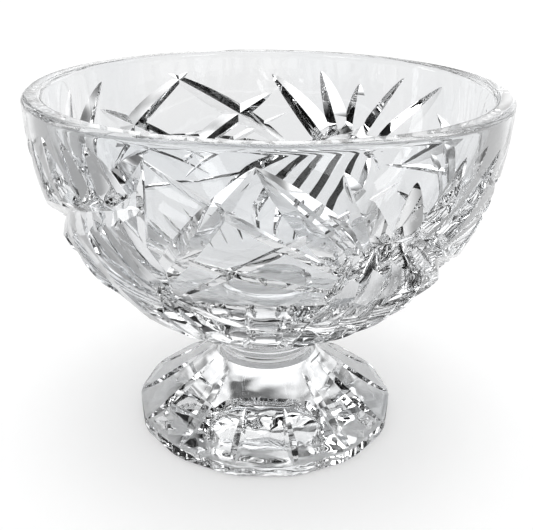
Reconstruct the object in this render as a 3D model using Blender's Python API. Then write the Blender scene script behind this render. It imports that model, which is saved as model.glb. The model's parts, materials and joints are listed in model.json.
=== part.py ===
"""Footed cut-glass compote: a turned bowl with wheel-cut mitres, a short stem and a petal foot.

Metres, +Z up. The origin is the centre of the foot's resting plane. Azimuth 0 points to -Y and
azimuth 90 to +X; azimuths and other angles are written in degrees.
"""
import math
from typing import NamedTuple

import bmesh
import bpy
from mathutils import Vector


class Mitre(NamedTuple):
    """One V cut: its ends as (azimuth, share of the wall's height), its depth, and its course.

    Deepest is the share of the run where it is deepest, bow is how far its middle bends up the wall.
    """

    start: tuple
    end: tuple
    depth: float
    deepest: float = 0.5
    bow: float = 0.0

    def place(self, along):
        """Azimuth and share of the wall's height at a share of the run."""
        azimuth = self.start[0] + along * (self.end[0] - self.start[0])
        share = self.start[1] + along * (self.end[1] - self.start[1])
        return azimuth, share + self.bow * 4.0 * along * (1.0 - along)


class Fan(NamedTuple):
    """Flutes that run down to a ledge, and a skirt of flutes that spread below it.

    Azimuths count from the fan's centre. A flute is the azimuth of its tip, the share of the wall's
    height there, and the azimuth where it meets the ledge.
    """

    ledge: Mitre
    flutes: tuple
    skirt: tuple


# Bowl
RIM_RADIUS = 0.076
RIM_HEIGHT = 0.118
RIM_THICKNESS = 0.0063
RIM_ROUNDING = 0.0018
BOWL_FULLNESS = 2.2
BOWL_BASE_THICKNESS = 0.0095

# Stem
STEM_HEIGHT = 0.0112
STEM_SEAT_RADIUS = 0.0182
STEM_WAIST_RADIUS = 0.0165
STEM_RING_RADIUS = 0.0188
STEM_RING_HEIGHT = 0.0030
STEM_RING_PLACE = 0.60

# Foot
FOOT_RADIUS = 0.0465
FOOT_HEIGHT = 0.0243
FOOT_EDGE_HEIGHT = 0.0044
FOOT_EDGE_BEVEL = 0.0006
FOOT_CONCAVITY = 1.2
FOOT_PETALS = 14
FOOT_CORNER_SHARE = 0.25
FOOT_HOLLOW_RADIUS = 0.0380
FOOT_HOLLOW_DEPTH = 0.0022

# Gap left where two pieces of glass are joined
JOINT_GAP = 0.0003

# Depths of the wheel cuts
MITRE_HALF_ANGLE = 52.0
BROAD_DEPTH = 0.0030
FINE_DEPTH = 0.0012
FLUTE_DEPTH = 0.0040
FLUTE_DEEPEST = 0.85
SKIRT_DEPTH = 0.0042
SKIRT_DEEPEST = 0.35
LEDGE_DEPTH = 0.0048
PETAL_DEPTH = 0.0017
PETAL_INNER_RADIUS = 0.0200
PETAL_SHORT_RADIUS = 0.0290
PETAL_DEEPEST = 0.35
DEPTH_FULLNESS = 0.7

# Layout of the cuts: three great fans, a side fan and broad panel before one, lattices between
FAN_CENTRES = (29.0, 150.0, 268.0)
GREAT_FAN = Fan(
    ledge=Mitre((-16.0, 0.47), (18.0, 0.455), LEDGE_DEPTH, bow=0.155),
    flutes=(
        (-30.5, 0.915, -9.0),
        (-15.3, 0.92, -4.5),
        (0.2, 0.865, 0.2),
        (13.3, 0.91, 4.5),
        (29.0, 0.885, 9.0),
    ),
    skirt=(
        (-17.0, 0.12, -9.0),
        (-3.0, 0.10, -5.0),
        (11.0, 0.10, -1.0),
        (24.5, 0.115, 3.5),
        (37.0, 0.15, 7.5),
        (48.0, 0.30, 12.0),
    ),
)
SIDE_FAN_CENTRE = -41.0
SIDE_FAN = Fan(
    ledge=Mitre((17.0, 0.78), (-43.0, 0.48), LEDGE_DEPTH, 0.6),
    flutes=((4.0, 0.945, 12.0), (-4.0, 0.935, 5.0), (-11.0, 0.90, -3.0), (-20.0, 0.89, -12.0)),
    skirt=(
        (18.0, 0.45, 9.0),
        (12.0, 0.34, 4.0),
        (8.0, 0.28, -1.0),
        (-4.0, 0.14, -10.0),
        (-11.0, 0.13, -19.0),
    ),
)
FRONT_CUTS = (
    Mitre((-2.0, 0.94), (-29.0, 0.42), BROAD_DEPTH),
    Mitre((-2.5, 0.94), (26.5, 0.55), BROAD_DEPTH),
    Mitre((-23.0, 0.95), (-33.0, 0.77), BROAD_DEPTH),
    Mitre((-24.5, 0.945), (20.0, 0.53), FINE_DEPTH),
    Mitre((25.0, 0.875), (-22.0, 0.445), FINE_DEPTH),
    Mitre((-27.0, 0.655), (19.0, 0.487), FINE_DEPTH),
    Mitre((-23.4, 0.945), (-26.3, 0.56), FINE_DEPTH),
    Mitre((-19.5, 0.44), (18.5, 0.435), FINE_DEPTH),
    Mitre((-38.0, 0.53), (1.0, 0.305), FINE_DEPTH, bow=-0.01),
    Mitre((19.0, 0.53), (-5.0, 0.30), FINE_DEPTH, bow=-0.09),
)
LATTICE_CENTRES = (89.0, 209.0)
LATTICE_RUNS = (
    Mitre((-3.0, 0.905), (38.0, 0.51), BROAD_DEPTH),
    Mitre((31.0, 0.795), (-6.0, 0.47), BROAD_DEPTH),
    Mitre((36.0, 0.70), (-6.0, 0.40), FINE_DEPTH),
    Mitre((-6.0, 0.62), (44.0, 0.50), FINE_DEPTH),
    Mitre((-1.0, 0.37), (33.0, 0.40), FINE_DEPTH),
)
HAND_DRIFT = 0.7

# Fineness of the meshes
BOWL_SEGMENTS = 70
OUTER_RINGS = 11
INNER_RINGS = 8
EDGE_STEPS = 3
STEM_SEGMENTS = 56
PETAL_STEPS = 8
FOOT_RINGS = 7
HOLLOW_RINGS = 4
CUTTER_STEPS = 6
CUTTER_RISE = 0.0009
SLIVER = 0.00002
CREASE = 20.0

GLASS_COLOUR = (0.93, 0.94, 0.95, 1.0)
GLASS_ROUGHNESS = 0.02
GLASS_INDEX = 1.54

# Heights where the pieces meet
STEM_FOOT_Z = FOOT_HEIGHT + JOINT_GAP
STEM_TOP_Z = STEM_FOOT_Z + STEM_HEIGHT
BOWL_SEAT_Z = STEM_TOP_Z + JOINT_GAP


class Wall(NamedTuple):
    """A bowl wall: a superellipse that runs from a pole on the axis up to the rim."""

    radius: float
    pole: float
    top: float

    def at_angle(self, angle):
        """Radius and height for a running angle, 0 at the pole and a right angle at the rim."""
        power = 2.0 / BOWL_FULLNESS
        height = self.top - (self.top - self.pole) * math.cos(angle) ** power
        return self.radius * math.sin(angle) ** power, height

    def point(self, azimuth, share):
        """Surface point and outward normal at an azimuth and a share of the wall's height."""
        drop = max(0.0, 1.0 - share)
        reach = (1.0 - drop ** BOWL_FULLNESS) ** (1.0 / BOWL_FULLNESS)
        power = BOWL_FULLNESS - 1.0
        around = bearing(azimuth)
        outward = around * (reach ** power / self.radius)
        downward = Vector((0.0, 0.0, -(drop ** power) / (self.top - self.pole)))
        height = Vector((0.0, 0.0, self.top - drop * (self.top - self.pole)))
        return around * (reach * self.radius) + height, (outward + downward).normalized()


def outer_wall():
    """The outer wall, placed so that it is as wide as the stem's seat where the two meet."""
    reach = (STEM_SEAT_RADIUS / RIM_RADIUS) ** BOWL_FULLNESS
    drop = (1.0 - reach) ** (1.0 / BOWL_FULLNESS)
    return Wall(RIM_RADIUS, RIM_HEIGHT - (RIM_HEIGHT - BOWL_SEAT_Z) / drop, RIM_HEIGHT)


def inner_wall():
    """The inner wall, a rim's thickness inside the outer one and a base's thickness above the seat."""
    return Wall(RIM_RADIUS - RIM_THICKNESS, BOWL_SEAT_Z + BOWL_BASE_THICKNESS, RIM_HEIGHT)


def bearing(azimuth):
    """Level unit vector that points to an azimuth."""
    angle = math.radians(azimuth)
    return Vector((math.sin(angle), -math.cos(angle), 0.0))


def clear_scene():
    """Remove every object of the scene."""
    for item in list(bpy.data.objects):
        bpy.data.objects.remove(item, do_unlink=True)


def glass_material(name):
    """Clear polished crystal for one piece."""
    material = bpy.data.materials.new(name)
    material.use_nodes = True
    shader = material.node_tree.nodes["Principled BSDF"]
    shader.inputs["Base Color"].default_value = GLASS_COLOUR
    shader.inputs["Metallic"].default_value = 0.0
    shader.inputs["Roughness"].default_value = GLASS_ROUGHNESS
    shader.inputs["IOR"].default_value = GLASS_INDEX
    shader.inputs["Transmission Weight"].default_value = 1.0
    return material


def add_object(name, body):
    """Turn a bmesh into a named object of the scene."""
    bmesh.ops.recalc_face_normals(body, faces=body.faces[:])
    mesh = bpy.data.meshes.new(name)
    body.to_mesh(mesh)
    body.free()
    item = bpy.data.objects.new(name, mesh)
    bpy.context.scene.collection.objects.link(item)
    return item


def finish_piece(item):
    """Give a piece its glass, and smooth shading that stops at its creases."""
    item.data.materials.append(glass_material(item.name + "_glass"))
    item.data.shade_smooth()
    item.data.set_sharp_from_angle(angle=math.radians(CREASE))


def turned_body(profile, segments):
    """Spin a profile of (radius, height) points, which starts and ends on the axis, into a body."""
    body = bmesh.new()
    points = [body.verts.new((0.0, -radius, height)) for radius, height in profile]
    edges = [body.edges.new(pair) for pair in zip(points, points[1:])]
    bmesh.ops.spin(
        body,
        geom=points + edges,
        cent=(0.0, 0.0, 0.0),
        axis=(0.0, 0.0, 1.0),
        angle=math.tau,
        steps=segments,
        use_merge=True,
    )
    bmesh.ops.remove_doubles(body, verts=body.verts[:], dist=SLIVER)
    return body


def depth_share(along, deepest):
    """Depth of a wheel cut along its run, from 0 at both ends to 1 at its deepest place."""
    run = along / deepest if along < deepest else (1.0 - along) / (1.0 - deepest)
    return math.sin(run * math.pi / 2.0) ** DEPTH_FULLNESS


def add_wedge(body, stations):
    """Add one V-shaped cutter, lofted through stations of (point, normal, depth)."""
    slope = math.tan(math.radians(MITRE_HALF_ANGLE))
    rings = []
    for index, (point, normal, depth) in enumerate(stations):
        ahead = stations[min(index + 1, len(stations) - 1)][0]
        behind = stations[max(index - 1, 0)][0]
        side = (ahead - behind).cross(normal).normalized() * ((depth + CUTTER_RISE) * slope)
        crest = point + normal * CUTTER_RISE
        corners = (point - normal * depth, crest + side, crest - side)
        rings.append([body.verts.new(corner) for corner in corners])
    for near, far in zip(rings, rings[1:]):
        for corner in range(3):
            follow = (corner + 1) % 3
            body.faces.new((near[corner], near[follow], far[follow], far[corner]))
    body.faces.new(rings[0])
    body.faces.new(rings[-1])


def cut_out(piece, body):
    """Cut a body of wedges out of a piece."""
    cutter = add_object(piece.name + "_wheel_cuts", body)
    cutter.hide_render = True
    cutter.display_type = "WIRE"
    boolean = piece.modifiers.new("wheel_cuts", "BOOLEAN")
    boolean.operation = "DIFFERENCE"
    boolean.solver = "EXACT"
    boolean.use_self = True
    boolean.object = cutter
    weld = piece.modifiers.new("merge_slivers", "WELD")
    weld.merge_threshold = SLIVER


def turned_cut(cut, azimuth):
    """A cut moved around the bowl by an azimuth."""
    start = (cut.start[0] + azimuth, cut.start[1])
    end = (cut.end[0] + azimuth, cut.end[1])
    return cut._replace(start=start, end=end)


def fan_cuts(centre, fan):
    """The cuts of one fan: its ledge, and the flutes that meet the ledge from above and below."""
    cuts = [turned_cut(fan.ledge, centre)]
    first = fan.ledge.start[0]
    span = fan.ledge.end[0] - first
    rows = ((fan.flutes, FLUTE_DEPTH, FLUTE_DEEPEST), (fan.skirt, SKIRT_DEPTH, SKIRT_DEEPEST))
    for flutes, depth, deepest in rows:
        for tip, share, foot in flutes:
            meeting = fan.ledge.place((foot - first) / span)
            cuts.append(turned_cut(Mitre((tip, share), meeting, depth, deepest), centre))
    return cuts


def lattice_cuts(centre):
    """Runs on both sides of a lattice's centre line, set a little apart as a hand sets them."""
    cuts = []
    for run in LATTICE_RUNS:
        for side, drift in ((1.0, 0.0), (-1.0, HAND_DRIFT)):
            start = (centre + side * run.start[0] + drift, run.start[1])
            end = (centre + side * run.end[0] - drift, run.end[1])
            cuts.append(run._replace(start=start, end=end))
    return cuts


def bowl_cuts():
    """Every cut on the bowl."""
    cuts = list(FRONT_CUTS) + fan_cuts(SIDE_FAN_CENTRE, SIDE_FAN)
    for centre in FAN_CENTRES:
        cuts += fan_cuts(centre, GREAT_FAN)
    for centre in LATTICE_CENTRES:
        cuts += lattice_cuts(centre)
    return cuts


def bowl_stations(wall, cut):
    """Stations of a cut that runs over a wall between its two ends."""
    stations = []
    for step in range(CUTTER_STEPS + 1):
        along = step / CUTTER_STEPS
        point, normal = wall.point(*cut.place(along))
        stations.append((point, normal, cut.depth * depth_share(along, cut.deepest)))
    return stations


def rim_edge(radius, turn):
    """Points of one rounded edge of the rim, from its side to its top; turn is 1 outside, -1 inside."""
    points = []
    for step in range(EDGE_STEPS + 1):
        angle = math.pi / 2.0 * step / EDGE_STEPS
        across = radius - turn * RIM_ROUNDING * (1.0 - math.cos(angle))
        points.append((across, RIM_HEIGHT - RIM_ROUNDING * (1.0 - math.sin(angle))))
    return points


def build_bowl():
    """Thick turned bowl with fans and lattices cut into its outside."""
    outer = outer_wall()
    inner = inner_wall()
    seat = math.asin((STEM_SEAT_RADIUS / RIM_RADIUS) ** (BOWL_FULLNESS / 2.0))
    profile = [(0.0, BOWL_SEAT_Z)]
    for ring in range(OUTER_RINGS):
        profile.append(outer.at_angle(seat + (math.pi / 2.0 - seat) * ring / OUTER_RINGS))
    profile += rim_edge(outer.radius, 1.0)
    profile += reversed(rim_edge(inner.radius, -1.0))
    for ring in range(INNER_RINGS - 1, 0, -1):
        profile.append(inner.at_angle(math.pi / 2.0 * ring / INNER_RINGS))
    profile.append((0.0, inner.pole))
    bowl = add_object("bowl", turned_body(profile, BOWL_SEGMENTS))
    wedges = bmesh.new()
    for cut in bowl_cuts():
        add_wedge(wedges, bowl_stations(outer, cut))
    cut_out(bowl, wedges)
    finish_piece(bowl)


def build_stem():
    """Short turned stem with a ring, joined hot to the foot below it and the bowl above."""
    ring_z = STEM_FOOT_Z + STEM_HEIGHT * STEM_RING_PLACE
    half = STEM_RING_HEIGHT / 2.0
    profile = [
        (0.0, STEM_FOOT_Z),
        (STEM_SEAT_RADIUS, STEM_FOOT_Z),
        (STEM_WAIST_RADIUS, (STEM_FOOT_Z + ring_z - half) / 2.0),
        (STEM_WAIST_RADIUS, ring_z - half),
        (STEM_RING_RADIUS, ring_z - half / 2.0),
        (STEM_RING_RADIUS, ring_z + half / 2.0),
        (STEM_WAIST_RADIUS, ring_z + half),
        (STEM_SEAT_RADIUS, STEM_TOP_Z),
        (0.0, STEM_TOP_Z),
    ]
    finish_piece(add_object("stem", turned_body(profile, STEM_SEGMENTS)))


def foot_spread(radius):
    """How far a radius lies out from the stem's seat to the foot's edge, from 0 to 1."""
    return (radius - STEM_SEAT_RADIUS) / (FOOT_RADIUS - STEM_SEAT_RADIUS)


def foot_top(radius):
    """Height of the foot's upper side at a radius."""
    rise = max(0.0, 1.0 - foot_spread(radius)) ** FOOT_CONCAVITY
    return FOOT_EDGE_HEIGHT + (FOOT_HEIGHT - FOOT_EDGE_HEIGHT) * rise


def side_pull(azimuth):
    """Share of the radius that the foot's flat sides and cut corners leave at an azimuth in radians."""
    half = math.pi / FOOT_PETALS
    turn = half * FOOT_CORNER_SHARE
    across = (azimuth + half) % (2.0 * half) - half
    flat = math.cos(half) / math.cos(across)
    corner = math.cos(half) / math.cos(half - turn) * math.cos(turn) / math.cos(half - abs(across))
    return min(flat, corner)


def flatten_petals(body):
    """Pull the round foot in to its sides and corners, less and less towards the stem."""
    for vertex in body.verts:
        radius = math.hypot(vertex.co.x, vertex.co.y)
        underneath = vertex.co.z < FOOT_EDGE_HEIGHT and radius < FOOT_HOLLOW_RADIUS + SLIVER
        fade = 0.0 if underneath else max(0.0, foot_spread(radius))
        pull = 1.0 + fade * (side_pull(math.atan2(vertex.co.x, -vertex.co.y)) - 1.0)
        vertex.co.x *= pull
        vertex.co.y *= pull


def petal_stations(azimuth):
    """Stations of the mitre along a corner, shorter beside the petals that face front and back."""
    beside_end = abs(math.sin(math.radians(azimuth))) < math.sin(math.tau / FOOT_PETALS)
    inner = PETAL_SHORT_RADIUS if beside_end else PETAL_INNER_RADIUS
    around = bearing(azimuth)
    slope = math.atan2(FOOT_HEIGHT - FOOT_EDGE_HEIGHT, FOOT_RADIUS - STEM_SEAT_RADIUS)
    normal = around * math.sin(slope) + Vector((0.0, 0.0, math.cos(slope)))
    stations = []
    for step in range(CUTTER_STEPS + 1):
        along = step / CUTTER_STEPS
        radius = FOOT_RADIUS + along * (inner - FOOT_RADIUS)
        point = around * radius + Vector((0.0, 0.0, foot_top(radius)))
        stations.append((point, normal, PETAL_DEPTH * depth_share(along, PETAL_DEEPEST)))
    return stations


def build_foot():
    """Spreading foot with a many-sided edge, a mitre on every corner and a hollow underneath."""
    profile = [(0.0, FOOT_HEIGHT)]
    for ring in range(FOOT_RINGS + 1):
        radius = STEM_SEAT_RADIUS + (FOOT_RADIUS - STEM_SEAT_RADIUS) * ring / FOOT_RINGS
        profile.append((radius, foot_top(radius)))
    profile += [(FOOT_RADIUS, FOOT_EDGE_BEVEL), (FOOT_RADIUS - FOOT_EDGE_BEVEL, 0.0)]
    for ring in range(HOLLOW_RINGS, -1, -1):
        share = ring / HOLLOW_RINGS
        profile.append((FOOT_HOLLOW_RADIUS * share, FOOT_HOLLOW_DEPTH * (1.0 - share * share)))
    body = turned_body(profile, FOOT_PETALS * PETAL_STEPS)
    flatten_petals(body)
    foot = add_object("foot", body)
    wedges = bmesh.new()
    for petal in range(FOOT_PETALS):
        add_wedge(wedges, petal_stations((petal + 0.5) * 360.0 / FOOT_PETALS))
    cut_out(foot, wedges)
    finish_piece(foot)


clear_scene()
build_bowl()
build_stem()
build_foot()
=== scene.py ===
"""Looks of a footed cut-crystal compote: its dense cut glass, its finishes, the studio and the camera.

Metres, +Z up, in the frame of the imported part. Azimuth 0 points to -Y, where the camera stands, and
azimuth 90 to +X. Angles of the cut pattern are written in degrees.
"""
from __future__ import annotations

import json
import logging
import math
from dataclasses import dataclass, replace
from enum import Enum
from typing import Any

import bpy
from mathutils import Matrix, Vector

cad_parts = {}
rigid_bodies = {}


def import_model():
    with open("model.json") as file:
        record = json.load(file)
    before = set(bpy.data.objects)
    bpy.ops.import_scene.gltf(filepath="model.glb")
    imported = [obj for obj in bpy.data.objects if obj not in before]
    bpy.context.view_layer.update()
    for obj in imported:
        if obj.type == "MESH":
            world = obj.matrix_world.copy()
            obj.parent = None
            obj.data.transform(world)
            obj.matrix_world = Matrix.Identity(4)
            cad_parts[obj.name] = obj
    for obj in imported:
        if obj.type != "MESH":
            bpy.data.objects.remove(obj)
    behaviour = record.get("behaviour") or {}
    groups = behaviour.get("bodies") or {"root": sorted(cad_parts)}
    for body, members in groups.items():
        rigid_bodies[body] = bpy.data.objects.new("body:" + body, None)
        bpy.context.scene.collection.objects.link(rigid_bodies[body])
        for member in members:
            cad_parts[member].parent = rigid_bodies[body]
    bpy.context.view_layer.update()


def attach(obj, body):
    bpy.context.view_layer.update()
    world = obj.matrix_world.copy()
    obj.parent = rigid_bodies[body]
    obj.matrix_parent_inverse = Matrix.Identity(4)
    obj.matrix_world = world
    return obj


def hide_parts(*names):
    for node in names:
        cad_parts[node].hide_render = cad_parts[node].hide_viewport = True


LOG = logging.getLogger("compote")
MERGE_DISTANCE = 2e-6
WELD_DISTANCE = 1e-5
LEVEL_TOLERANCE = 1e-4
JOINT_TOLERANCE = 1e-5

# Where the stem meets the foot and the bowl
SEAT_RADIUS = 0.0182
FOOT_SEAT = 0.0243
BOWL_SEAT = 0.0361

# How soft every noise pattern is
NOISE_DETAIL = 1.0
NOISE_ROUGHNESS = 0.4
NOISE_DISTORTION = 0.5

Point = tuple[float, float]
Row = tuple[float, float, float]
Colour = tuple[float, float, float, float]

WHITE: Colour = (1.0, 1.0, 1.0, 1.0)
BLACK: Colour = (0.0, 0.0, 0.0, 1.0)


class Node(Enum):
    """The CAD nodes that the pieces stand for."""

    BOWL = "bowl"
    STEM = "stem"
    FOOT = "foot"

    @property
    def slot(self) -> str:
        """Return the record's material slot of the node."""
        return f"{self.value}_crystal"


class NodeGraph:
    """Adds and links the nodes of one tree in few words."""

    def __init__(self, tree: bpy.types.NodeTree) -> None:
        """Keep the tree that the nodes go into."""
        self.tree = tree

    def add(
        self, kind: str, inputs: dict[str | int, Any] | None = None, **settings: Any
    ) -> bpy.types.Node:
        """Add a node, set it up and feed its inputs.

        Args:
            kind: Blender's type name of the node.
            inputs: Values or sockets, by the name or number of the input that they feed.
            **settings: Properties of the node.

        Returns:
            The new node.
        """
        node = self.tree.nodes.new(kind)
        for name, value in settings.items():
            setattr(node, name, value)
        self.feed(node, inputs or {})
        return node

    def feed(self, node: bpy.types.Node, inputs: dict[str | int, Any]) -> None:
        """Feed the inputs of a node.

        Args:
            node: The node.
            inputs: Values or sockets, by the name or number of the input that they feed.
        """
        for key, value in inputs.items():
            if isinstance(value, bpy.types.NodeSocket):
                self.tree.links.new(value, node.inputs[key])
            else:
                node.inputs[key].default_value = value

    def math(self, operation: str, *values: Any) -> bpy.types.NodeSocket:
        """Add a math node and return its result.

        Args:
            operation: Blender's name of the operation.
            *values: Up to three numbers or sockets.

        Returns:
            The socket that holds the result.
        """
        return self.add("ShaderNodeMath", dict(enumerate(values)), operation=operation).outputs[0]

    def noise(self, place: bpy.types.NodeSocket, size: float) -> bpy.types.NodeSocket:
        """Return smooth noise whose patches are about a size across."""
        feeds = {"Vector": place, "Scale": 1.0 / size, "Detail": NOISE_DETAIL}
        feeds |= {"Roughness": NOISE_ROUGHNESS, "Distortion": NOISE_DISTORTION}
        return self.add("ShaderNodeTexNoise", feeds).outputs["Fac"]

    def spread(self, value: Any, low: Point, high: Point) -> bpy.types.NodeSocket:
        """Map a value smoothly from one range to another.

        Args:
            value: The number or socket to map.
            low: The value and the result where the range starts.
            high: The value and the result where the range ends.

        Returns:
            The socket that holds the result.
        """
        feeds = {"Value": value, "From Min": low[0], "From Max": high[0]}
        feeds |= {"To Min": low[1], "To Max": high[1]}
        return self.add("ShaderNodeMapRange", feeds, interpolation_type="SMOOTHSTEP").outputs[0]

    def rising(self, value: Any, ends: Point) -> bpy.types.NodeSocket:
        """Return 0 below the first end, 1 above the second and a smooth rise between them."""
        return self.spread(value, (ends[0], 0.0), (ends[1], 1.0))

    def scaled(self, vector: Any, factor: Any) -> bpy.types.NodeSocket:
        """Return a vector times a number."""
        feeds = {0: vector, "Scale": factor}
        return self.add("ShaderNodeVectorMath", feeds, operation="SCALE").outputs[0]


class GeometryTree:
    """A geometry node tree with named inputs, put on an object and turned into a plain mesh."""

    def __init__(self, name: str, sockets: dict[str, str]) -> None:
        """Make the tree with its inputs.

        Args:
            name: Name of the tree.
            sockets: Blender's socket type for each input, by the input's name.
        """
        self.tree = bpy.data.node_groups.new(name, "GeometryNodeTree")
        self.ids: dict[str, str] = {}
        self.tree.interface.new_socket("Geometry", in_out="OUTPUT", socket_type="NodeSocketGeometry")
        self.tree.interface.new_socket("Geometry", in_out="INPUT", socket_type="NodeSocketGeometry")
        for label, kind in sockets.items():
            socket = self.tree.interface.new_socket(label, in_out="INPUT", socket_type=kind)
            self.ids[label] = socket.identifier
        self.graph = NodeGraph(self.tree)
        self.source = self.tree.nodes.new("NodeGroupInput").outputs

    def close(self, geometry: bpy.types.NodeSocket, material: bpy.types.NodeSocket) -> None:
        """End the tree: make instances real, give the material and hand the geometry out."""
        real = self.graph.add("GeometryNodeRealizeInstances", {"Geometry": geometry})
        dressed = self.graph.add(
            "GeometryNodeSetMaterial", {"Geometry": real.outputs[0], "Material": material}
        )
        self.graph.add("NodeGroupOutput", {"Geometry": dressed.outputs[0]})

    def applied(self, item: bpy.types.Object, values: dict[str, Any]) -> bpy.types.Mesh:
        """Run the tree on an object.

        Args:
            item: The object that the tree's modifier is put on, and taken off again.
            values: The value for each named input.

        Returns:
            The plain mesh that comes out.
        """
        modifier = item.modifiers.new(self.tree.name, "NODES")
        modifier.node_group = self.tree
        for label, value in values.items():
            modifier[self.ids[label]] = value
        graph = bpy.context.evaluated_depsgraph_get()
        mesh = bpy.data.meshes.new_from_object(item.evaluated_get(graph), depsgraph=graph)
        item.modifiers.remove(modifier)
        return mesh


class TurningTree(GeometryTree):
    """Turns a profile of points around the axis, with flat sides between corners where asked."""

    def __init__(self) -> None:
        """Build the tree."""
        super().__init__(
            "turned_glass",
            {
                "Profile": "NodeSocketObject",
                "Segments": "NodeSocketInt",
                "Sides": "NodeSocketInt",
                "Corner Share": "NodeSocketFloat",
                "Material": "NodeSocketMaterial",
            },
        )
        graph, source = self.graph, self.source
        profile = graph.add("GeometryNodeObjectInfo", {"Object": source["Profile"]}).outputs["Geometry"]
        rows = graph.add("GeometryNodeAttributeDomainSize", {"Geometry": profile}).outputs["Point Count"]
        columns = graph.math("ADD", source["Segments"], 1.0)
        size = {"Vertices X": columns, "Vertices Y": rows}
        grid = graph.add("GeometryNodeMeshGrid", size).outputs["Mesh"]
        index = graph.add("GeometryNodeInputIndex").outputs[0]
        row = graph.math("MODULO", index, rows)
        column = graph.math("FLOOR", graph.math("DIVIDE", graph.math("ADD", index, 0.5), rows))
        azimuth = graph.math("MULTIPLY", graph.math("DIVIDE", column, source["Segments"]), math.tau)
        position = graph.add("GeometryNodeInputPosition").outputs[0]
        sample = graph.add(
            "GeometryNodeSampleIndex",
            {"Geometry": profile, "Value": position, "Index": row},
            data_type="FLOAT_VECTOR",
        )
        parts = graph.add("ShaderNodeSeparateXYZ", {0: sample.outputs[0]}).outputs
        reach = graph.math("MULTIPLY", parts["X"], self._pull(azimuth, parts["Y"]))
        east = graph.math("MULTIPLY", reach, graph.math("SINE", azimuth))
        south = graph.math("MULTIPLY", reach, graph.math("COSINE", azimuth))
        north = graph.math("MULTIPLY", south, -1.0)
        place = graph.add("ShaderNodeCombineXYZ", {"X": east, "Y": north, "Z": parts["Z"]}).outputs[0]
        moved = graph.add("GeometryNodeSetPosition", {"Geometry": grid, "Position": place}).outputs[0]
        merged = graph.add("GeometryNodeMergeByDistance", {"Geometry": moved, "Distance": MERGE_DISTANCE})
        smooth = graph.add("GeometryNodeSetShadeSmooth", {"Geometry": merged.outputs[0]})
        self.close(smooth.outputs[0], source["Material"])

    def _pull(self, azimuth: bpy.types.NodeSocket, flatness: bpy.types.NodeSocket) -> bpy.types.NodeSocket:
        """Share of the radius that is kept, which draws a row in to flat sides with cut corners.

        Args:
            azimuth: Azimuth of each point.
            flatness: How far each point's row is drawn in, from 0 to 1.

        Returns:
            The factor for the radius.
        """
        graph, source = self.graph, self.source
        half = graph.math("DIVIDE", math.pi, source["Sides"])
        pitch = graph.math("MULTIPLY", half, 2.0)
        across = graph.math(
            "SUBTRACT", graph.math("MODULO", graph.math("ADD", azimuth, half), pitch), half
        )
        chord = graph.math("DIVIDE", graph.math("COSINE", half), graph.math("COSINE", across))
        turn = graph.math("MULTIPLY", half, source["Corner Share"])
        start = graph.math("COSINE", graph.math("SUBTRACT", half, turn))
        reach = graph.math("MULTIPLY", graph.math("COSINE", half), graph.math("COSINE", turn))
        apart = graph.math("SUBTRACT", half, graph.math("ABSOLUTE", across))
        divisor = graph.math("MULTIPLY", start, graph.math("COSINE", apart))
        side = graph.math("MINIMUM", chord, graph.math("DIVIDE", reach, divisor))
        return graph.math("MULTIPLY_ADD", flatness, graph.math("SUBTRACT", side, 1.0), 1.0)


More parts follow.
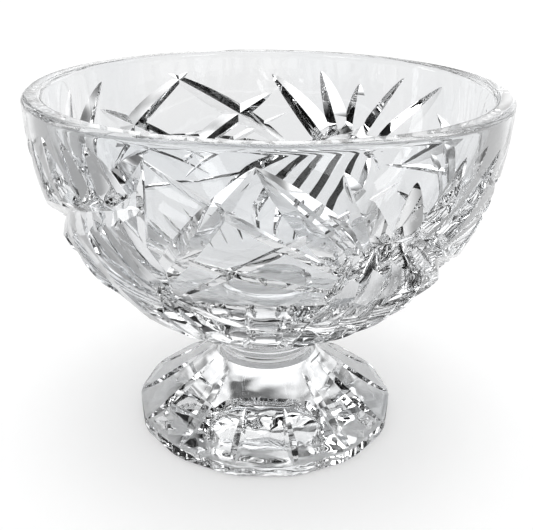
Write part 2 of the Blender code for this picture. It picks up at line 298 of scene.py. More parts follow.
class WheelCutTree(GeometryTree):
    """Sweeps a V along guide lines and takes the wedges out of a blank."""

    def __init__(self) -> None:
        """Build the tree."""
        super().__init__(
            "wheel_cuts",
            {
                "Guides": "NodeSocketObject",
                "Half Angle": "NodeSocketFloat",
                "Rise": "NodeSocketFloat",
                "Crease": "NodeSocketFloat",
                "Material": "NodeSocketMaterial",
            },
        )
        graph, source = self.graph, self.source
        guides = graph.add("GeometryNodeObjectInfo", {"Object": source["Guides"]}).outputs["Geometry"]
        lines = graph.add("GeometryNodeMeshToCurve", {"Mesh": guides}).outputs[0]
        facing = self._named("facing", "FLOAT_VECTOR")
        lifted = graph.add(
            "GeometryNodeSetPosition",
            {"Geometry": lines, "Offset": graph.scaled(facing, source["Rise"])},
        )
        turned = graph.add(
            "GeometryNodeSetCurveNormal", {"Curve": lifted.outputs[0], "Normal": facing}, mode="FREE"
        )
        size = graph.math("ADD", self._named("depth", "FLOAT"), source["Rise"])
        wedges = graph.add(
            "GeometryNodeCurveToMesh",
            {
                "Curve": turned.outputs[0],
                "Profile Curve": self._vee(),
                "Scale": size,
                "Fill Caps": True,
            },
        )
        cut = graph.add(
            "GeometryNodeMeshBoolean",
            {"Mesh 1": source["Geometry"], "Mesh 2": wedges.outputs[0], "Self Intersection": True},
            operation="DIFFERENCE",
            solver="EXACT",
        )
        welded = graph.add(
            "GeometryNodeMergeByDistance", {"Geometry": cut.outputs[0], "Distance": WELD_DISTANCE}
        )
        smooth = graph.add("GeometryNodeSetShadeSmooth", {"Geometry": welded.outputs[0]})
        angle = graph.add("GeometryNodeInputMeshEdgeAngle").outputs["Unsigned Angle"]
        sharp = graph.add(
            "FunctionNodeCompare", {"A": angle, "B": source["Crease"]}, operation="GREATER_THAN"
        )
        creased = graph.add(
            "GeometryNodeSetShadeSmooth",
            {"Geometry": smooth.outputs[0], "Selection": sharp.outputs[0], "Shade Smooth": False},
            domain="EDGE",
        )
        self.close(creased.outputs[0], source["Material"])

    def _named(self, name: str, kind: str) -> bpy.types.NodeSocket:
        """Return a named attribute of the guide lines."""
        return self.graph.add("GeometryNodeInputNamedAttribute", {"Name": name}, data_type=kind).outputs[0]

    def _vee(self) -> bpy.types.NodeSocket:
        """Return the V's outline: its point a unit down, its two upper corners at the half angle."""
        graph = self.graph
        slope = graph.math("TANGENT", self.source["Half Angle"])
        index = graph.add("GeometryNodeInputIndex").outputs[0]
        side = graph.math("SUBTRACT", graph.math("MULTIPLY", index, 2.0), 3.0)
        upper = graph.math("MINIMUM", index, 1.0)
        across = graph.math("MULTIPLY", graph.math("MULTIPLY", side, slope), upper)
        down = graph.math("SUBTRACT", upper, 1.0)
        place = graph.add("ShaderNodeCombineXYZ", {"X": down, "Y": across}).outputs[0]
        ring = graph.add("GeometryNodeCurvePrimitiveCircle", {"Resolution": 3}).outputs[0]
        return graph.add("GeometryNodeSetPosition", {"Geometry": ring, "Position": place}).outputs[0]


def bearing(azimuth: float) -> Vector:
    """Return the level unit vector that points to an azimuth in degrees."""
    angle = math.radians(azimuth)
    return Vector((math.sin(angle), -math.cos(angle), 0.0))


def linked(name: str, data: bpy.types.Mesh | bpy.types.Camera) -> bpy.types.Object:
    """Return a new object of the scene that holds a mesh or a camera."""
    item = bpy.data.objects.new(name, data)
    bpy.context.scene.collection.objects.link(item)
    return item


def round_rows(points: list[Point]) -> list[Row]:
    """Return the rows of a profile whose every row stays round."""
    return [(radius, height, 0.0) for radius, height in points]


def point_line(name: str, profile: list[Row]) -> bpy.types.Object:
    """Make the helper object that holds a profile's points for the turning tree.

    Args:
        name: Name of the helper.
        profile: Rows as radius, height and how far the row is drawn in to flat sides.

    Returns:
        The helper object.
    """
    mesh = bpy.data.meshes.new(name)
    points = [(radius, flatness, height) for radius, height, flatness in profile]
    mesh.from_pydata(points, [(step, step + 1) for step in range(len(points) - 1)], [])
    return linked(name, mesh)


@dataclass(frozen=True)
class Station:
    """One place on a guide line: where it is, which way is out, and how deep the cut is there."""

    place: Vector
    facing: Vector
    depth: float


def guide_lines(name: str, lines: list[list[Station]]) -> bpy.types.Object:
    """Make the helper object that holds the guide lines of a piece's cuts.

    Args:
        name: Name of the helper.
        lines: The stations of each cut.

    Returns:
        The helper object, with the attributes that the wheel-cut tree reads.
    """
    stations = [station for line in lines for station in line]
    edges = []
    start = 0
    for line in lines:
        edges += [(start + step, start + step + 1) for step in range(len(line) - 1)]
        start += len(line)
    mesh = bpy.data.meshes.new(name)
    mesh.from_pydata([station.place for station in stations], edges, [])
    depth = mesh.attributes.new("depth", "FLOAT", "POINT")
    facing = mesh.attributes.new("facing", "FLOAT_VECTOR", "POINT")
    depth.data.foreach_set("value", [station.depth for station in stations])
    facing.data.foreach_set("vector", [value for station in stations for value in station.facing])
    return linked(name, mesh)


def node_material(name: str) -> tuple[bpy.types.Material, bpy.types.Node]:
    """Return a new material with nodes, and its surface shader."""
    material = bpy.data.materials.new(name)
    material.use_nodes = True
    return material, material.node_tree.nodes["Principled BSDF"]


@dataclass(frozen=True)
class Crystal:
    """Clear polished cut glass, a little wavy and unevenly clear from the polishing."""

    name: str
    pale: Colour = WHITE
    deep: Colour = (0.91, 0.93, 0.95, 1.0)
    index: float = 1.545
    tint_size: float = 0.03
    wave_size: float = 0.014
    wave_height: float = 0.00008
    haze: Point = (0.0, 0.004)
    haze_size: float = 0.008

    def material(self) -> bpy.types.Material:
        """Make the glass."""
        material, shader = node_material(self.name)
        graph = NodeGraph(material.node_tree)
        place = graph.add("ShaderNodeTexCoord").outputs["Object"]
        tint = graph.add(
            "ShaderNodeMix",
            {"Factor": graph.noise(place, self.tint_size), "A": self.pale, "B": self.deep},
            data_type="RGBA",
        )
        haze = graph.add(
            "ShaderNodeMapRange",
            {"Value": graph.noise(place, self.haze_size), "To Min": self.haze[0], "To Max": self.haze[1]},
        )
        wave = graph.add(
            "ShaderNodeBump",
            {"Height": graph.noise(place, self.wave_size), "Distance": self.wave_height},
        )
        feeds = {
            "Base Color": tint.outputs["Result"],
            "Roughness": haze.outputs[0],
            "Normal": wave.outputs[0],
            "IOR": self.index,
            "Transmission Weight": 1.0,
        }
        graph.feed(shader, feeds)
        return material


@dataclass(frozen=True)
class HotJoint:
    """The face where two pieces of glass were fused: nothing of it can be seen."""

    name: str = "fused_joint"

    def material(self) -> bpy.types.Material:
        """Make the clear face."""
        material, shader = node_material(self.name)
        shader.inputs["Alpha"].default_value = 0.0
        return material


@dataclass(frozen=True)
class Wall:
    """A bowl wall: a superellipse that runs from a pole on the axis up to the rim."""

    radius: float
    pole: float
    top: float
    fullness: float

    def at_angle(self, angle: float) -> Point:
        """Return radius and height for a running angle, 0 at the pole and a right angle at the rim."""
        power = 2.0 / self.fullness
        height = self.top - (self.top - self.pole) * math.cos(angle) ** power
        return self.radius * math.sin(angle) ** power, height

    def station(self, azimuth: float, share: float, depth: float) -> Station:
        """Return the station of a cut at an azimuth and a share of the wall's height.

        Args:
            azimuth: Azimuth in degrees.
            share: Share of the height between the pole and the rim.
            depth: Depth of the cut.

        Returns:
            The station on the wall's surface.
        """
        drop = 1.0 - share
        reach = (1.0 - drop**self.fullness) ** (1.0 / self.fullness)
        power = self.fullness - 1.0
        around = bearing(azimuth)
        outward = around * (reach**power / self.radius)
        downward = Vector((0.0, 0.0, -(drop**power) / (self.top - self.pole)))
        height = Vector((0.0, 0.0, self.top - drop * (self.top - self.pole)))
        return Station(around * (reach * self.radius) + height, (outward + downward).normalized(), depth)


@dataclass(frozen=True)
class Cut:
    """One V cut: its ends as (azimuth, share of the wall's height), its depth, and its course.

    Deepest is the share of the run where it is deepest, bow is how far its middle bends up the wall.
    """

    start: Point
    end: Point
    depth: float
    deepest: float = 0.5
    bow: float = 0.0

    def place(self, along: float) -> Point:
        """Return the azimuth and the share of the wall's height at a share of the run."""
        azimuth = self.start[0] + along * (self.end[0] - self.start[0])
        share = self.start[1] + along * (self.end[1] - self.start[1])
        return azimuth, share + self.bow * 4.0 * along * (1.0 - along)

    def depth_at(self, along: float, fullness: float) -> float:
        """Return the depth at a share of the run, from 0 at both ends to the full depth."""
        run = along / self.deepest if along < self.deepest else (1.0 - along) / (1.0 - self.deepest)
        return self.depth * math.sin(run * math.pi / 2.0) ** fullness

    def turned(self, azimuth: float) -> Cut:
        """Return the cut moved around the bowl by an azimuth."""
        start = (self.start[0] + azimuth, self.start[1])
        end = (self.end[0] + azimuth, self.end[1])
        return replace(self, start=start, end=end)


@dataclass(frozen=True)
class Fan:
    """Flutes that run down to a ledge, and a skirt of flutes that spread below it.

    Azimuths count from the fan's centre. A flute is the azimuth of its tip, the share of the wall's
    height there, and the azimuth where it meets the ledge.
    """

    ledge: Cut
    flutes: tuple[Row, ...]
    skirt: tuple[Row, ...]
    flute_depth: float = 0.0040
    flute_deepest: float = 0.85
    skirt_depth: float = 0.0042
    skirt_deepest: float = 0.35

    def cuts(self, centre: float) -> list[Cut]:
        """Return the fan's cuts around a centre azimuth."""
        cuts = [self.ledge.turned(centre)]
        first = self.ledge.start[0]
        span = self.ledge.end[0] - first
        rows = (
            (self.flutes, self.flute_depth, self.flute_deepest),
            (self.skirt, self.skirt_depth, self.skirt_deepest),
        )
        for flutes, depth, deepest in rows:
            for tip, share, foot in flutes:
                meeting = self.ledge.place((foot - first) / span)
                cuts.append(Cut((tip, share), meeting, depth, deepest).turned(centre))
        return cuts


@dataclass
class Pattern:
    """Where the cuts lie on the bowl: fans, the front panel, the lattices and the collar under it."""

    broad: float = 0.0030
    fine: float = 0.0012
    drift: float = 0.7
    fan_centres: tuple[float, ...] = (29.0, 150.0, 268.0)
    great_fan: Fan = Fan(
        ledge=Cut((-16.0, 0.47), (18.0, 0.455), 0.0048, bow=0.155),
        flutes=(
            (-30.5, 0.915, -9.0),
            (-15.3, 0.92, -4.5),
            (0.2, 0.865, 0.2),
            (13.3, 0.91, 4.5),
            (29.0, 0.885, 9.0),
        ),
        skirt=(
            (-17.0, 0.12, -9.0),
            (-3.0, 0.10, -5.0),
            (11.0, 0.10, -1.0),
            (24.5, 0.115, 3.5),
            (37.0, 0.15, 7.5),
            (48.0, 0.30, 12.0),
        ),
    )
    side_fan_centre: float = -41.0
    side_fan: Fan = Fan(
        ledge=Cut((17.0, 0.78), (-43.0, 0.48), 0.0048, 0.6),
        flutes=((4.0, 0.945, 12.0), (-4.0, 0.935, 5.0), (-11.0, 0.90, -3.0), (-20.0, 0.89, -12.0)),
        skirt=(
            (18.0, 0.45, 9.0),
            (12.0, 0.34, 4.0),
            (8.0, 0.28, -1.0),
            (-4.0, 0.14, -10.0),
            (-11.0, 0.13, -19.0),
        ),
    )
    lattice_centres: tuple[float, ...] = (89.0, 209.0)
    collar_count: int = 30
    collar_run: Point = (0.08, 0.26)
    collar_depth: float = 0.0013

    def collar(self) -> list[Cut]:
        """Return the ring of short flutes under the bowl, around the stem."""
        pitch = 360.0 / self.collar_count
        low, high = self.collar_run
        azimuths = [(place + 0.5) * pitch for place in range(self.collar_count)]
        return [Cut((azimuth, low), (azimuth, high), self.collar_depth) for azimuth in azimuths]

    def front(self) -> list[Cut]:
        """Return the panel before the viewer: a broad gable and the fine lines across it."""
        return [
            Cut((-2.0, 0.94), (-29.0, 0.42), self.broad),
            Cut((-2.5, 0.94), (26.5, 0.55), self.broad),
            Cut((-23.0, 0.95), (-33.0, 0.77), self.broad),
            Cut((-24.5, 0.945), (20.0, 0.53), self.fine),
            Cut((25.0, 0.875), (-22.0, 0.445), self.fine),
            Cut((-27.0, 0.655), (19.0, 0.487), self.fine),
            Cut((-23.4, 0.945), (-26.3, 0.56), self.fine),
            Cut((-19.5, 0.44), (18.5, 0.435), self.fine),
            Cut((-38.0, 0.53), (1.0, 0.305), self.fine, bow=-0.01),
            Cut((19.0, 0.53), (-5.0, 0.30), self.fine, bow=-0.09),
        ]

    def lattice(self, centre: float) -> list[Cut]:
        """Return a lattice: runs on both sides of its centre line, set a little apart by hand."""
        runs = (
            Cut((-3.0, 0.905), (38.0, 0.51), self.broad),
            Cut((31.0, 0.795), (-6.0, 0.47), self.broad),
            Cut((36.0, 0.70), (-6.0, 0.40), self.fine),
            Cut((-6.0, 0.62), (44.0, 0.50), self.fine),
            Cut((-1.0, 0.37), (33.0, 0.40), self.fine),
        )
        cuts = []
        for run in runs:
            for side, drift in ((1.0, 0.0), (-1.0, self.drift)):
                start = (centre + side * run.start[0] + drift, run.start[1])
                end = (centre + side * run.end[0] - drift, run.end[1])
                cuts.append(replace(run, start=start, end=end))
        return cuts

    def cuts(self) -> list[Cut]:
        """Return every cut on the bowl."""
        cuts = self.front() + self.collar() + self.side_fan.cuts(self.side_fan_centre)
        for centre in self.fan_centres:
            cuts += self.great_fan.cuts(centre)
        for centre in self.lattice_centres:
            cuts += self.lattice(centre)
        return cuts


@dataclass
class GlassMaker:
    """The tools that every piece of the dish is made with."""

    turning: TurningTree
    cutting: WheelCutTree
    joint: bpy.types.Material
    half_angle: float = math.radians(52.0)
    rise: float = 0.0009
    crease: float = math.radians(20.0)
    depth_fullness: float = 0.7

    def turned(
        self,
        name: str,
        profile: list[Row],
        segments: int,
        material: bpy.types.Material,
        sides: int = 1,
        corner_share: float = 0.0,
    ) -> bpy.types.Object:
        """Turn a profile into a closed piece.

        Args:
            name: Name of the piece.
            profile: Rows of the profile, from the axis round to the axis.
            segments: Columns around the axis.
            material: The piece's glass.
            sides: Number of flat sides.
            corner_share: Share of each half side that the cut corners take.

        Returns:
            The turned piece.
        """
        helper = point_line(name + "_profile", profile)
        blank = linked(name, bpy.data.meshes.new(name + "_blank"))
        values = {
            "Profile": helper,
            "Segments": segments,
            "Sides": sides,
            "Corner Share": corner_share,
            "Material": material,
        }
        blank.data = self.turning.applied(blank, values)
        bpy.data.objects.remove(helper)
        return blank

    def cut(
        self, piece: bpy.types.Object, lines: list[list[Station]], material: bpy.types.Material
    ) -> None:
        """Cut guide lines into a piece.

        Args:
            piece: The turned blank, whose mesh is replaced.
            lines: The stations of each cut.
            material: The piece's glass.
        """
        helper = guide_lines(piece.name + "_guides", lines)
        values = {
            "Guides": helper,
            "Half Angle": self.half_angle,
            "Rise": self.rise,
            "Crease": self.crease,
            "Material": material,
        }
        piece.data = self.cutting.applied(piece, values)
        bpy.data.objects.remove(helper)

    def finished(
        self, piece: bpy.types.Object, node: Node, joints: tuple[float, ...]
    ) -> bpy.types.Object:
        """Clear a piece's fused faces and hand it to the frame.

        Args:
            piece: The finished piece.
            node: The CAD node that it stands for.
            joints: Heights of the level faces that are fused to a neighbour.

        Returns:
            The piece.
        """
        mesh = piece.data
        mesh.name = piece.name
        mesh.materials.append(self.joint)
        for face in mesh.polygons:
            level = abs(abs(face.normal.z) - 1.0) < LEVEL_TOLERANCE
            if level and any(abs(face.center.z - height) < JOINT_TOLERANCE for height in joints):
                face.material_index = len(mesh.materials) - 1
        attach(piece, "root")
        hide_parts(node.value)
        LOG.info("%s: %d faces", piece.name, len(mesh.polygons))
        return piece


@dataclass
class Bowl:
    """The thick cut bowl, whose rim is a hair narrower than the solid's so that it stays in its box."""

    rim_radius: float = 0.0759
    rim_height: float = 0.118
    rim_thickness: float = 0.0063
    rim_rounding: float = 0.0018
    fullness: float = 2.2
    base_thickness: float = 0.0095
    seat_radius: float = SEAT_RADIUS
    seat_height: float = BOWL_SEAT
    segments: int = 300
    outer_rings: int = 70
    inner_rings: int = 48
    edge_steps: int = 8
    cut_steps: int = 24

    def outer(self) -> Wall:
        """Return the outer wall, as wide as the seat where it meets the stem."""
        reach = (self.seat_radius / self.rim_radius) ** self.fullness
        drop = (1.0 - reach) ** (1.0 / self.fullness)
        pole = self.rim_height - (self.rim_height - self.seat_height) / drop
        return Wall(self.rim_radius, pole, self.rim_height, self.fullness)

    def inner(self) -> Wall:
        """Return the inner wall."""
        radius = self.rim_radius - self.rim_thickness
        return Wall(radius, self.seat_height + self.base_thickness, self.rim_height, self.fullness)

    def rim_edge(self, radius: float, turn: float) -> list[Point]:
        """Return one rounded edge of the rim.

        Args:
            radius: Radius of the edge's side.
            turn: 1 for the outer edge, -1 for the inner one.

        Returns:
            Points from the side to the top.
        """
        points = []
        for step in range(self.edge_steps + 1):
            angle = math.pi / 2.0 * step / self.edge_steps
            across = radius - turn * self.rim_rounding * (1.0 - math.cos(angle))
            points.append((across, self.rim_height - self.rim_rounding * (1.0 - math.sin(angle))))
        return points

    def profile(self) -> list[Row]:
        """Return the blank's profile, from the seat over the rim to the bottom of the inside."""
        outer, inner = self.outer(), self.inner()
        seat = math.asin((self.seat_radius / self.rim_radius) ** (self.fullness / 2.0))
        points = [(0.0, self.seat_height)]
        for ring in range(self.outer_rings):
            points.append(outer.at_angle(seat + (math.pi / 2.0 - seat) * ring / self.outer_rings))
        points += self.rim_edge(outer.radius, 1.0)
        points += reversed(self.rim_edge(inner.radius, -1.0))
        for ring in range(self.inner_rings - 1, 0, -1):
            points.append(inner.at_angle(math.pi / 2.0 * ring / self.inner_rings))
        points.append((0.0, inner.pole))
        return round_rows(points)

    def line(self, cut: Cut, fullness: float) -> list[Station]:
        """Return the stations of a cut that runs over the outer wall."""
        outer = self.outer()
        stations = []
        for step in range(self.cut_steps + 1):
            along = step / self.cut_steps
            stations.append(outer.station(*cut.place(along), cut.depth_at(along, fullness)))
        return stations

    def build(self, maker: GlassMaker, pattern: Pattern) -> bpy.types.Object:
        """Make the bowl.

        Args:
            maker: The glass tools.
            pattern: The cuts on its outside.

        Returns:
            The bowl.
        """
        glass = Crystal(Node.BOWL.slot).material()
        bowl = maker.turned("cut_bowl", self.profile(), self.segments, glass)
        lines = [self.line(cut, maker.depth_fullness) for cut in pattern.cuts()]
        maker.cut(bowl, lines, glass)
        return maker.finished(bowl, Node.BOWL, (self.seat_height,))


@dataclass
class Stem:
    """The short stem with its ring."""

    low: float = FOOT_SEAT
    high: float = BOWL_SEAT
    seat_radius: float = SEAT_RADIUS
    waist_radius: float = 0.0165
    ring_radius: float = 0.0188
    ring_height: float = 0.0030
    ring_place: float = 0.60
    clearance: float = 0.00001
    segments: int = 180

    def profile(self) -> list[Row]:
        """Return the stem's profile from its foot to its top."""
        low, high = self.low + self.clearance, self.high - self.clearance
        ring = low + (high - low) * self.ring_place
        half = self.ring_height / 2.0
        points = [
            (0.0, low),
            (self.seat_radius, low),
            (self.waist_radius, (low + ring - half) / 2.0),
            (self.waist_radius, ring - half),
            (self.ring_radius, ring - half / 2.0),
            (self.ring_radius, ring + half / 2.0),
            (self.waist_radius, ring + half),
            (self.seat_radius, high),
            (0.0, high),
        ]
        return round_rows(points)

    def build(self, maker: GlassMaker) -> bpy.types.Object:
        """Make the stem."""
        glass = Crystal(Node.STEM.slot).material()
        stem = maker.turned("ringed_stem", self.profile(), self.segments, glass)
        ends = (self.low + self.clearance, self.high - self.clearance)
        return maker.finished(stem, Node.STEM, ends)


@dataclass
class Foot:
    """The spreading foot with its petals, cut corners and hollow underside."""

    radius: float = 0.0465
    height: float = FOOT_SEAT
    edge_height: float = 0.0044
    edge_bevel: float = 0.0006
    concavity: float = 1.2
    petals: int = 14
    corner_share: float = 0.25
    seat_radius: float = SEAT_RADIUS
    hollow_radius: float = 0.0380
    hollow_depth: float = 0.0022
    petal_depth: float = 0.0017
    petal_inner: float = 0.0200
    short_inner: float = 0.0290
    petal_deepest: float = 0.35
    petal_steps: int = 24
    rings: int = 30
    hollow_rings: int = 14
    cut_steps: int = 20
    wave_height: float = 0.0003

    def spread(self, radius: float) -> float:
        """Return how far a radius lies out from the seat to the edge, from 0 to 1."""
        return (radius - self.seat_radius) / (self.radius - self.seat_radius)

    def top_at(self, radius: float) -> float:
        """Return the height of the upper side at a radius."""
        rise = max(0.0, 1.0 - self.spread(radius)) ** self.concavity
        return self.edge_height + (self.height - self.edge_height) * rise

    def profile(self) -> list[Row]:
        """Return the foot's profile from its seat round to the middle of its underside."""
        rows = [(0.0, self.height, 0.0)]
        for ring in range(self.rings + 1):
            radius = self.seat_radius + (self.radius - self.seat_radius) * ring / self.rings
            rows.append((radius, self.top_at(radius), self.spread(radius)))
        under = self.radius - self.edge_bevel
        rows += [(self.radius, self.edge_bevel, 1.0), (under, 0.0, self.spread(under))]
        for ring in range(self.hollow_rings, -1, -1):
            share = ring / self.hollow_rings
            rows.append((self.hollow_radius * share, self.hollow_depth * (1.0 - share * share), 0.0))
        return rows

    def petal_line(self, azimuth: float, fullness: float) -> list[Station]:
        """Return the mitre along a corner, shorter beside the petals that face front and back.

        Args:
            azimuth: Azimuth of the corner in degrees.
            fullness: How full the mitre's depth runs along it.

        Returns:
            The stations of the mitre.
        """
        inner = self.petal_inner
        if abs(math.sin(math.radians(azimuth))) < math.sin(math.tau / self.petals):
            inner = self.short_inner
        around = bearing(azimuth)
        slope = math.atan2(self.height - self.edge_height, self.radius - self.seat_radius)
        facing = around * math.sin(slope) + Vector((0.0, 0.0, math.cos(slope)))
        run = Cut((azimuth, self.radius), (azimuth, inner), self.petal_depth, self.petal_deepest)
        stations = []
        for step in range(self.cut_steps + 1):
            along = step / self.cut_steps
            radius = self.radius + along * (inner - self.radius)
            place = around * radius + Vector((0.0, 0.0, self.top_at(radius)))
            stations.append(Station(place, facing, run.depth_at(along, fullness)))
        return stations

    def build(self, maker: GlassMaker) -> bpy.types.Object:
        """Make the foot."""
        glass = Crystal(Node.FOOT.slot, wave_height=self.wave_height).material()
        columns = self.petals * self.petal_steps
        foot = maker.turned("petal_foot", self.profile(), columns, glass, self.petals, self.corner_share)
        pitch = 360.0 / self.petals
        lines = []
        for petal in range(self.petals):
            lines.append(self.petal_line((petal + 0.5) * pitch, maker.depth_fullness))
        maker.cut(foot, lines, glass)
        return maker.finished(foot, Node.FOOT, (self.height,))


def sphere_patch(azimuths: Point, elevations: Point, radius: float, steps: int) -> bpy.types.Mesh:
    """Make a patch of a sphere around the origin.

    Args:
        azimuths: First and last azimuth in degrees.
        elevations: Lowest and highest elevation in degrees.
        radius: Radius of the sphere.
        steps: Faces along each side.

    Returns:
        The patch.
    """
    points = []
    for row in range(steps + 1):
        tilt = math.radians(elevations[0] + (elevations[1] - elevations[0]) * row / steps)
        for column in range(steps + 1):
            around = bearing(azimuths[0] + (azimuths[1] - azimuths[0]) * column / steps)
            points.append((around * math.cos(tilt) + Vector((0.0, 0.0, math.sin(tilt)))) * radius)
    faces = []
    for row in range(steps):
        for column in range(steps):
            corner = row * (steps + 1) + column
            faces.append((corner, corner + 1, corner + steps + 2, corner + steps + 1))
    mesh = bpy.data.meshes.new("cloth")
    mesh.from_pydata(points, [], faces)
    return mesh


def glowing(name: str, glow: float) -> tuple[bpy.types.Material, bpy.types.Node]:
    """Return a cloth that only shows its own white light, at a strength, and its shader."""
    material, shader = node_material(name)
    shader.inputs["Base Color"].default_value = BLACK
    shader.inputs["Specular IOR Level"].default_value = 0.0
    shader.inputs["Emission Color"].default_value = WHITE
    shader.inputs["Emission Strength"].default_value = glow
    return material, shader


def hang(name: str, mesh: bpy.types.Mesh, material: bpy.types.Material) -> None:
    """Hang a cloth around the dish, where only glass and polished faces see it."""
    mesh.materials.append(material)
    cloth = linked(name, mesh)
    cloth.visible_camera = False
    cloth.visible_diffuse = False
    cloth.visible_shadow = False


@dataclass(frozen=True)
class Tent:
    """The cloth tent: dark before the dish, lit from behind, fading upwards, with a bright crown."""

    radius: float = 1.5
    elevations: Point = (0.6, 89.9)
    steps: int = 48
    dark: float = 0.004
    fold_size: float = 0.38
    fold_glow: Point = (0.2, 1.6)
    fold_rise: Point = (0.38, 0.62)
    rear_rise: Point = (0.20, 0.92)
    fade_starts: float = 0.30
    fade_ends: float = 0.93
    crown_starts: float = 0.955
    crown_full: float = 0.97
    crown: float = 0.9
    pole_margin: float = 0.05

    def build(self) -> None:
        """Hang the tent, which is plain white to what lights the floor through the glass."""
        material, shader = glowing("tent_cloth", self.dark)
        graph = NodeGraph(material.node_tree)
        place = graph.add("ShaderNodeTexCoord").outputs["Object"]
        toward = graph.add("ShaderNodeSeparateXYZ", {0: graph.scaled(place, 1.0 / self.radius)}).outputs
        steep = graph.math("MULTIPLY", toward["Z"], toward["Z"])
        level = graph.math("SQRT", graph.math("SUBTRACT", 1.0, steep))
        back = graph.math("DIVIDE", toward["Y"], graph.math("MAXIMUM", level, self.pole_margin))
        rear = graph.rising(back, self.rear_rise)
        fade = graph.spread(toward["Z"], (self.fade_starts, 1.0), (self.fade_ends, 0.0))
        crown = graph.spread(toward["Z"], (self.crown_starts, 0.0), (self.crown_full, self.crown))
        low, high = zip(self.fold_rise, self.fold_glow)
        folds = graph.spread(graph.noise(place, self.fold_size), low, high)
        glow = graph.math("MAXIMUM", graph.math("MULTIPLY", rear, fade), crown)
        glow = graph.math("MULTIPLY", glow, folds)
        scattered = graph.add("ShaderNodeLightPath").outputs["Diffuse Depth"]
        glow = graph.math("MAXIMUM", glow, graph.math("MINIMUM", scattered, 1.0))
        graph.feed(shader, {"Emission Strength": graph.math("MAXIMUM", glow, self.dark)})
        hang("tent", sphere_patch((0.0, 360.0), self.elevations, self.radius, self.steps), material)


@dataclass(frozen=True)
class Window:
    """A soft white window in the tent: where it is, in degrees."""

    name: str
    azimuths: Point
    elevations: Point
    glow: float = 3.0
    radius: float = 1.4
    steps: int = 8

    def build(self) -> None:
        """Hang the window before the tent's cloth."""
        cloth = sphere_patch(self.azimuths, self.elevations, self.radius, self.steps)
        material, _ = glowing(self.name, self.glow)
        hang(self.name, cloth, material)


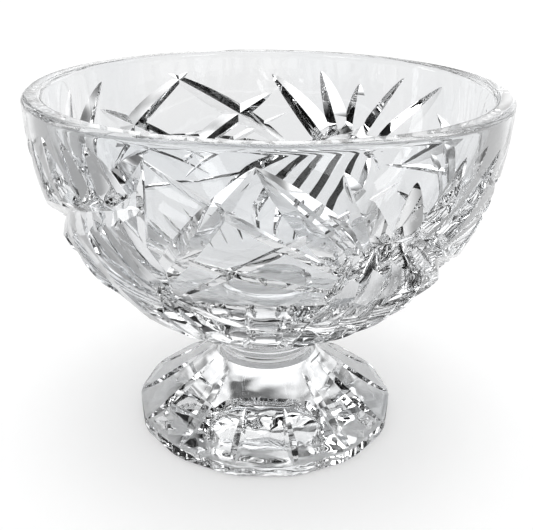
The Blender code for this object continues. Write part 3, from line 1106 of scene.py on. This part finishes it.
@dataclass
class Studio:
    """Pale floor, white surroundings, a tent around the dish and the camera."""

    floor_size: float = 6.0
    floor_drop: float = 0.0003
    floor_roughness: float = 0.9
    floor_colour: Colour = (0.7, 0.7, 0.7, 1.0)
    # Painted shade on the floor: grey that only the glass shows, beside the dish and mirrored before it
    painted_shade_colour: Colour = (0.16, 0.16, 0.16, 1.0)
    side_shade_share: float = 0.65
    front_shade_ends: Point = (-0.2, 0.1)
    side_shade_starts: Point = (-0.30, -0.02)
    side_shade_ends: Point = (0.62, 0.80)
    side_shade_radii: Point = (0.05, 0.09)
    # The floor's glow, near and far: an evenly white floor far off, and less glow near the dish as a
    # painted shadow around the foot
    floor_glow_with_painted_shadow: Point = (0.26, 0.38)
    painted_shadow_radii: Point = (0.045, 0.10)
    through_glow_share: float = 0.62
    tent: Tent = Tent()
    windows: tuple[Window, ...] = (
        Window("left_window", (-60.0, -38.0), (30.0, 52.0)),
        Window("right_window", (40.0, 58.0), (35.0, 58.0)),
        Window("left_strip", (-108.0, -98.0), (4.0, 40.0)),
        Window("right_strip", (98.0, 108.0), (36.0, 60.0)),
    )
    camera_place: tuple[float, float, float] = (0.0, -0.251378, 0.164464)
    camera_pitch: float = 0.4094
    camera_roll: float = 0.0115
    focal_pixels: float = 785.18
    image_width: float = 533.0
    sensor: float = 36.0
    bounces: int = 32
    glossy_bounces: int = 16

    def floor(self) -> None:
        """Lay the floor."""
        half = self.floor_size / 2.0
        mesh = bpy.data.meshes.new("floor")
        corners = [(-half, -half), (half, -half), (half, half), (-half, half)]
        mesh.from_pydata([(x, y, -self.floor_drop) for x, y in corners], [], [(0, 1, 2, 3)])
        mesh.materials.append(self.floor_painted_light())
        linked("floor", mesh)

    def floor_painted_light(self) -> bpy.types.Material:
        """Make the floor's material, whose tone depends on the kind of ray that sees it, with painted
        light and shade.

        It glows to the camera and through glass: evenly white far off, but less near the dish, which
        paints a shadow around the foot. Seen through glass at both sides of the dish it is painted greyer,
        a painted shade. In front of the dish it is painted greyer to rays that the glass mirrors, a
        painted dark reflection.

        Returns:
            The finish.
        """
        material, shader = node_material("pale_floor")
        graph = NodeGraph(material.node_tree)
        ray = graph.add("ShaderNodeLightPath").outputs
        through = ray["Is Transmission Ray"]
        mirrored = graph.math("MULTIPLY", ray["Is Glossy Ray"], graph.math("SUBTRACT", 1.0, through))
        place = graph.add("ShaderNodeTexCoord").outputs["Object"]
        away = graph.add("ShaderNodeVectorMath", {0: place}, operation="LENGTH").outputs["Value"]
        back = graph.add("ShaderNodeSeparateXYZ", {0: place}).outputs["Y"]
        turn = graph.math("DIVIDE", back, graph.math("MAXIMUM", away, self.side_shade_radii[0]))
        # Painted dark reflection: the floor before the dish, greyer as the glass mirrors it
        front = graph.math("SUBTRACT", 1.0, graph.rising(turn, self.front_shade_ends))
        # Painted shade: the floor beside the dish, greyer as seen through the glass
        zones = (
            graph.rising(turn, self.side_shade_starts),
            graph.rising(away, self.side_shade_radii),
            graph.math("SUBTRACT", 1.0, graph.rising(turn, self.side_shade_ends)),
        )
        side = graph.math("MULTIPLY", through, self.side_shade_share)
        for zone in zones:
            side = graph.math("MULTIPLY", side, zone)
        # The painted shade, mixed into the floor's colour
        painted_shade = graph.math("MAXIMUM", side, graph.math("MULTIPLY", mirrored, front))
        colour = graph.add(
            "ShaderNodeMix",
            {"Factor": painted_shade, "A": self.floor_colour, "B": self.painted_shade_colour},
            data_type="RGBA",
        )
        # Through the glass the floor glows less, and less again where the shade is painted
        glassy = graph.math("SUBTRACT", graph.math("MAXIMUM", through, mirrored), painted_shade)
        beyond = graph.math("MULTIPLY", glassy, self.through_glow_share)
        seen = graph.math("MAXIMUM", ray["Is Camera Ray"], beyond)
        # Glow that is weaker near the dish: a painted shadow around the foot
        near, far = zip(self.painted_shadow_radii, self.floor_glow_with_painted_shadow)
        feeds = {
            "Base Color": colour.outputs["Result"],
            "Roughness": self.floor_roughness,
            "Specular IOR Level": 0.0,
            "Emission Color": WHITE,
            "Emission Strength": graph.math("MULTIPLY", seen, graph.spread(away, near, far)),
        }
        graph.feed(shader, feeds)
        return material

    def light(self) -> None:
        """Surround the dish with even white light."""
        world = bpy.data.worlds.new("white_studio")
        world.use_nodes = True
        background = world.node_tree.nodes["Background"]
        background.inputs["Color"].default_value = WHITE
        background.inputs["Strength"].default_value = 1.0
        bpy.context.scene.world = world

    def camera(self) -> None:
        """Set the camera where the photograph was taken from."""
        data = bpy.data.cameras.new("camera")
        data.sensor_width = self.sensor
        data.lens = self.focal_pixels / self.image_width * self.sensor
        item = linked("camera", data)
        tilt = Matrix.Rotation(math.pi / 2.0 - self.camera_pitch, 4, "X")
        roll = Matrix.Rotation(self.camera_roll, 4, "Z")
        item.matrix_world = Matrix.Translation(self.camera_place) @ tilt @ roll
        bpy.context.scene.camera = item

    def build(self) -> None:
        """Set up the whole studio."""
        self.floor()
        self.light()
        self.tent.build()
        for window in self.windows:
            window.build()
        self.camera()
        scene = bpy.context.scene
        scene.view_settings.view_transform = "Standard"
        scene.cycles.max_bounces = self.bounces
        scene.cycles.transmission_bounces = self.bounces
        scene.cycles.transparent_max_bounces = self.bounces
        scene.cycles.glossy_bounces = self.glossy_bounces


def main() -> None:
    """Build the dish and its studio."""
    logging.basicConfig(level=logging.INFO, format="%(name)s: %(message)s")
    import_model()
    maker = GlassMaker(TurningTree(), WheelCutTree(), HotJoint().material())
    Bowl().build(maker, Pattern())
    Stem().build(maker)
    Foot().build(maker)
    Studio().build()


if __name__ == "__main__":
    main()
